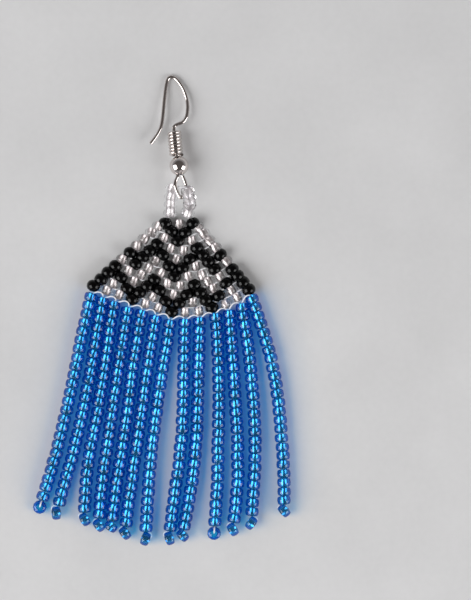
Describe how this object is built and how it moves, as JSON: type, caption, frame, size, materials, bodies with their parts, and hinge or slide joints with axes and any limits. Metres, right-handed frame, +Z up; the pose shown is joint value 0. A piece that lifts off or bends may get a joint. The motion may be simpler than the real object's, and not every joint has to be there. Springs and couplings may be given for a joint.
{
  "type": "beaded earring",
  "caption": "Drop earring lying flat: fish-hook ear wire with coil and ball, a brick-stitch bead fan with a zigzag, and a fringe of blue bead strings.",
  "frame": {"origin": "bottom centre of the bounding box, on the surface that the earring lies on", "axes": "+Y runs from the fringe towards the ear wire, +Z up from the surface, +X to the right as seen from above"},
  "size_m": [0.042, 0.0754, 0.0055],
  "materials": {
    "silver_metal": "polished silver-tone plate",
    "clear_bead": "clear glass with a silver-lined hole",
    "fan_bead": "opaque black and clear silver-lined glass in zigzag rows",
    "blue_bead": "capri blue glass with a silver-lined hole"
  },
  "bodies": {
    "root": {"ear_hook": "silver_metal", "hook_coil": "silver_metal", "hook_ball": "silver_metal", "hanger_arm_left": "clear_bead", "hanger_arm_right": "clear_bead", "beaded_fan": "fan_bead", "fringe_strand_01": "blue_bead", "fringe_strand_02": "blue_bead", "fringe_strand_03": "blue_bead", "fringe_strand_04": "blue_bead", "fringe_strand_05": "blue_bead", "fringe_strand_06": "blue_bead", "fringe_strand_07": "blue_bead", "fringe_strand_08": "blue_bead", "fringe_strand_09": "blue_bead", "fringe_strand_10": "blue_bead", "fringe_strand_11": "blue_bead", "fringe_strand_12": "blue_bead", "fringe_strand_13": "blue_bead"}
  },
  "joints": []
}
